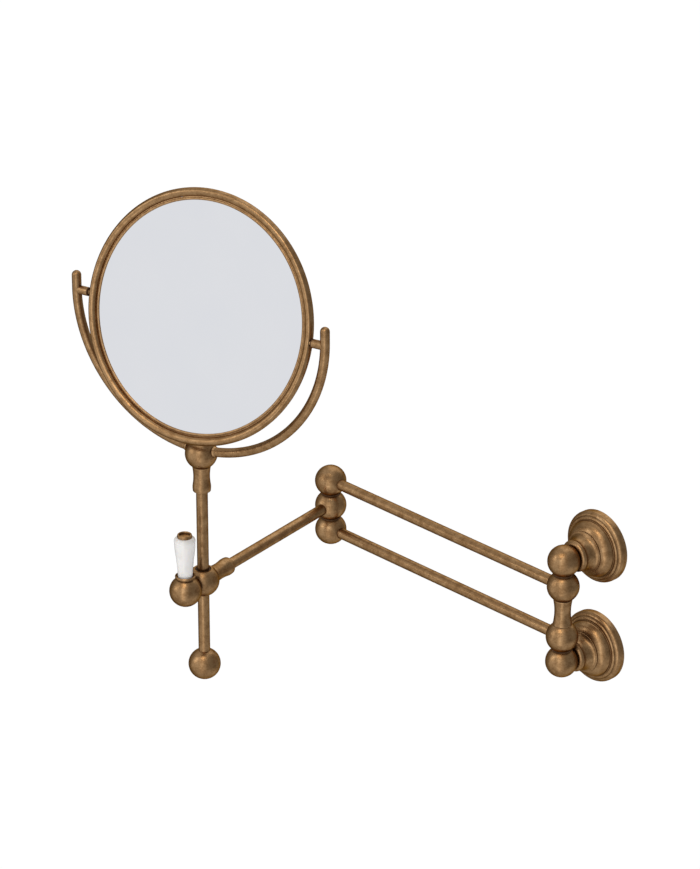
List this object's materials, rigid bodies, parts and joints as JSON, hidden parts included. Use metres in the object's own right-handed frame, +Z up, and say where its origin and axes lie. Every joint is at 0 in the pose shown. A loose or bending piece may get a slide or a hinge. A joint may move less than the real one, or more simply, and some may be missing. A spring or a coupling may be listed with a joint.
{
  "type": "extendable shaving mirror",
  "caption": "Wall-held round shaving mirror on a hinged double-bar arm, with a folding rod, a lever clamp for its sliding pole and a tilting fork.",
  "frame": {"origin": "on the wall plane, midway between the two roses, at the centre of the four wall screws", "axes": "+Y runs into the wall, +Z is up, +X runs to the right as a person faces the wall"},
  "size_m": [0.3618, 0.239, 0.3977],
  "materials": {
    "antique_brass": "lacquered antique bronze tone, brushed satin",
    "steel": "plain turned",
    "bearing_bronze": "plain turned",
    "black_nylon": "dark brown-black, matt",
    "white_ceramic": "white glaze",
    "mirror_glass": "silvered",
    "grey_foam": "matt"
  },
  "bodies": {
    "wall_mount": {"wall_bracket_upper": "antique_brass", "wall_bracket_lower": "antique_brass", "rose_upper": "antique_brass", "rose_lower": "antique_brass", "rose_neck_upper": "antique_brass", "rose_neck_lower": "antique_brass", "post_ball_upper": "antique_brass", "post_ball_lower": "antique_brass", "post_studs": "steel", "rose_grub_screws": "steel", "column_washers": "black_nylon", "column_pin": "steel"},
    "swing_bars": {"swing_ball_upper": "antique_brass", "swing_ball_lower": "antique_brass", "column_bushes": "bearing_bronze", "column_spool": "antique_brass", "bar_upper": "antique_brass", "bar_lower": "antique_brass", "elbow_ball_upper": "antique_brass", "elbow_ball_lower": "antique_brass", "elbow_pin": "steel", "elbow_washers": "black_nylon"},
    "folding_rod": {"elbow_ball_middle": "antique_brass", "elbow_bush": "bearing_bronze", "arm_rod": "antique_brass", "arm_ferrule": "antique_brass", "clamp_ball": "antique_brass", "thrust_washer": "black_nylon", "clamp_pad": "black_nylon"},
    "clamp_lever": {"clamp_screw": "steel", "lever_ball": "antique_brass", "lever_collar": "antique_brass", "lever_core": "steel", "lever_sleeve": "white_ceramic", "lever_cap": "antique_brass"},
    "pole_liner": {"pole_liner": "black_nylon"},
    "pole": {"pole": "antique_brass", "finial_ball": "antique_brass", "pole_ferrule": "antique_brass", "yoke_ball": "antique_brass", "yoke_fork": "antique_brass", "fork_collars": "antique_brass", "pivot_pins": "antique_brass", "friction_washers": "black_nylon"},
    "mirror": {"mirror_ring": "antique_brass", "front_bezel": "antique_brass", "rear_bezel": "antique_brass", "plain_glass": "mirror_glass", "magnifying_glass": "mirror_glass", "glass_spacer": "grey_foam", "tilt_bushes": "bearing_bronze"}
  },
  "joints": [
    {"name": "wall_swing", "type": "hinge", "parent": "wall_mount", "child": "swing_bars", "pos_m": [0, -0.03925, 0], "axis": [0, 0, 1], "range_deg": [-5, 185]},
    {"name": "elbow_fold", "type": "hinge", "parent": "swing_bars", "child": "folding_rod", "pos_m": [-0.2545, -0.03925, 0], "axis": [0, 0, 1], "range_deg": [-273, 73]},
    {"name": "pole_turn", "type": "hinge", "parent": "folding_rod", "child": "pole_liner", "pos_m": [-0.22602, -0.20076, 0], "axis": [0, 0, 1], "continuous": true},
    {"name": "pole_height", "type": "slide", "parent": "pole_liner", "child": "pole", "axis": [0, 0, 1], "range_m": [-0.0592, 0.049]},
    {"name": "mirror_tilt", "type": "hinge", "parent": "pole", "child": "mirror", "pos_m": [-0.22602, -0.20076, 0.2196], "axis": [0.9578, 0.2874, 0], "continuous": true},
    {"name": "lever_turn", "type": "hinge", "parent": "folding_rod", "child": "clamp_lever", "pos_m": [-0.22221, -0.22237, 0], "axis": [0.1736, -0.9848, 0], "range_deg": [0, 90]}
  ]
}
